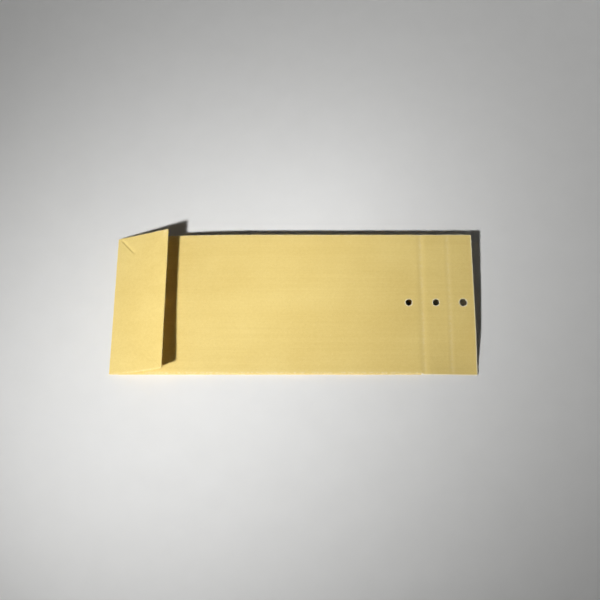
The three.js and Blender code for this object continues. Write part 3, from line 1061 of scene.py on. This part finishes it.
prong = {
    "half": 0.15 * mm, "innerOut": 1.15 * mm, "innerUp": 1.45 * mm, "kneeOut": 2.5 * mm,
    "handle": 0.95 * mm, "neck": 0.62, "neckStart": 1.0 * mm, "neckReach": 2.4 * mm,
    "rib": 0.22 * mm, "ribWidth": 0.28, "ribStart": 3 * mm, "ribEnd": 2.2 * mm, "ribFade": 1.5 * mm,
    "tipShare": 0.02, "kneeRows": 12, "rows": 46, "columns": 25,
}


# Prong: from inside the eyelet round a knee and out along the back, with a narrow neck, a pressed
# rib along its middle and a round tip
def makeProng(side, root, node):
    low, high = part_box(node)
    length, half = high.y - low.y, (high.x - low.x) / 2
    inner = np.array([side * prong["innerOut"], prong["innerUp"]])
    knee = np.array([side * prong["kneeOut"], root[2]])
    fold = foldCurve(inner, (0, -1), knee, (side, 0), prong["handle"], prong["kneeRows"])
    tip = np.array([root[1] - claspY + side * length, root[2]])
    path = Path(joinPaths(fold, [knee, tip]))
    kneeEnd, total = path.q[-2:]
    us = np.concatenate([path.q[:-1], np.linspace(kneeEnd, total, prong["rows"])[1:]])
    us[-1] = us[-1] - 1e-7

    def surface(q, v):
        reach = np.clip((q - (total - half)) / half, 0, 1)
        wide = half * np.sqrt(np.maximum(1 - reach ** 2, prong["tipShare"] ** 2))
        neck = prong["neck"] + (1 - prong["neck"]) * smooth((q - prong["neckStart"]) / prong["neckReach"])
        begun = smooth((q - prong["ribStart"]) / prong["ribFade"])
        ended = smooth((total - prong["ribEnd"] - q) / prong["ribFade"])
        rib = side * prong["rib"] * bump(v / prong["ribWidth"]) * begun * ended
        yz = path.at(q) + path.across(q) * rib[:, None]
        return np.stack([claspX + v * wide * neck, claspY + yz[:, 0], yz[:, 1]], -1)

    plan, quads = sheetPlan(us, np.linspace(-1, 1, prong["columns"]))
    solid, faces = thicken(surface(*plan.T), quads[:, ::-side], prong["half"])
    name = "claspProng" + ("Near" if side < 0 else "Far")
    piece = meshPiece(name, solid, faces, stampedBrass)
    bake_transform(piece)
    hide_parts(node)


makeEyelet()
makeProng(-1, claspNear, "clasp_prong_near")
makeProng(1, claspFar, "clasp_prong_far")
print("clasp made")

# The hidden layers keep their frame solids, with paper or paste on them
hiddenLayers = {
    "seam_lap": kraftInside, "bottom_inner_leaf": kraftInside, "corner_tuck_near": kraftInside,
    "corner_tuck_far": kraftInside, "seam_adhesive": driedPaste, "bottom_adhesive": driedPaste,
}
for node, finish in hiddenLayers.items():
    layer = frame["nodes"][node]
    layer.material_slots[0].link = "OBJECT"
    layer.material_slots[0].material = finish

studio = {
    "floor": (0.80, 0.80, 0.79, 1), "floorShade": (0.76, 0.76, 0.75, 1),
    "floorFlat": 2.2, "floorRing": 2.1, "floorBend": 0.8, "wallTop": 2.0, "bendRows": 13, "turnCount": 96,
    "grain": ((1, 1, 1), 40, 3), "floorRough": 0.9,
    "cameraAt": (6.27 * mm, -248.86 * mm, 761.65 * mm), "cameraTurn": 18.46, "focal": 850, "pixels": 600,
    # lamps: place, aim, size, power and spread, and for the ring round the room the last three
    "key": ((-0.481, -0.486, 0.726), (0.030, 0.085, 0), 0.09, 1.30, 57.6),
    "fill": ((0.8, 0.5, 1.2), (0, 0, 0), 1.6, 0.30, 180), "ambient": 0.015,
    "room": (0.8, 3.6, 126), "roomLights": 8, "roomRadius": 1.05, "roomHeight": 0.95, "roomLean": 1.45,
}


# Floor and wall in one, from the wall's top in to the middle: straight down, a quarter circle of
# radius floorBend, then flat
def makeFloor():
    flat, radius = studio["floorFlat"], studio["floorBend"]
    bend = np.radians(np.linspace(90, 0, studio["bendRows"]))
    outs = np.concatenate([[flat + radius], flat + radius * np.sin(bend), [studio["floorRing"], 0]])
    ups = np.concatenate([[studio["wallTop"]], radius * (1 - np.cos(bend)), [0, 0]])
    finish, shader, place = newFinish("paleFloor")
    grain = place.noise(*studio["grain"])
    setInput(shader, "Base Color", grain.blend(studio["floor"], studio["floorShade"]))
    setInput(shader, "Roughness", studio["floorRough"])
    lathePiece("floor", np.stack([outs, ups], -1), finish, studio["turnCount"])


# Round lamp at a place, turned to face another
def areaLight(name, place, toward, size, power, spread):
    lamp = bpy.data.lights.new(name, "AREA")
    lamp.shape = "DISK"
    lamp.size = size
    lamp.energy = power
    lamp.spread = math.radians(spread)
    light = addObject(name, lamp)
    light.location = place
    light.rotation_euler = (Vector(toward) - Vector(place)).to_track_quat("-Z", "Y").to_euler()


# Studio: a small key lamp whose cone falls off across the envelope, a wide fill from the right, and
# a ring of lamps that light the floor and wall round it
def makeStudio():
    makeFloor()
    areaLight("keyLight", *studio["key"])
    areaLight("fillLight", *studio["fill"])
    for turn in np.linspace(0, 2 * np.pi, studio["roomLights"], endpoint=False):
        spot = studio["roomRadius"] * np.array([math.cos(turn), math.sin(turn), 0])
        areaLight("roomLight", spot + np.array([0, 0, studio["roomHeight"]]), spot * studio["roomLean"],
                  *studio["room"])
    world = bpy.data.worlds.new("studio")
    world.use_nodes = True
    sky = world.node_tree.nodes["Background"].inputs
    sky["Color"].default_value = (1, 1, 1, 1)
    sky["Strength"].default_value = studio["ambient"]
    bpy.context.scene.world = world
    bpy.context.scene.view_settings.view_transform = "Standard"
    view = bpy.data.cameras.new("camera")
    view.lens = view.sensor_width * studio["focal"] / studio["pixels"]
    camera = addObject("camera", view)
    camera.location = studio["cameraAt"]
    camera.rotation_euler = (math.radians(studio["cameraTurn"]), 0, 0)
    bpy.context.scene.camera = camera


makeStudio()
print("studio made")
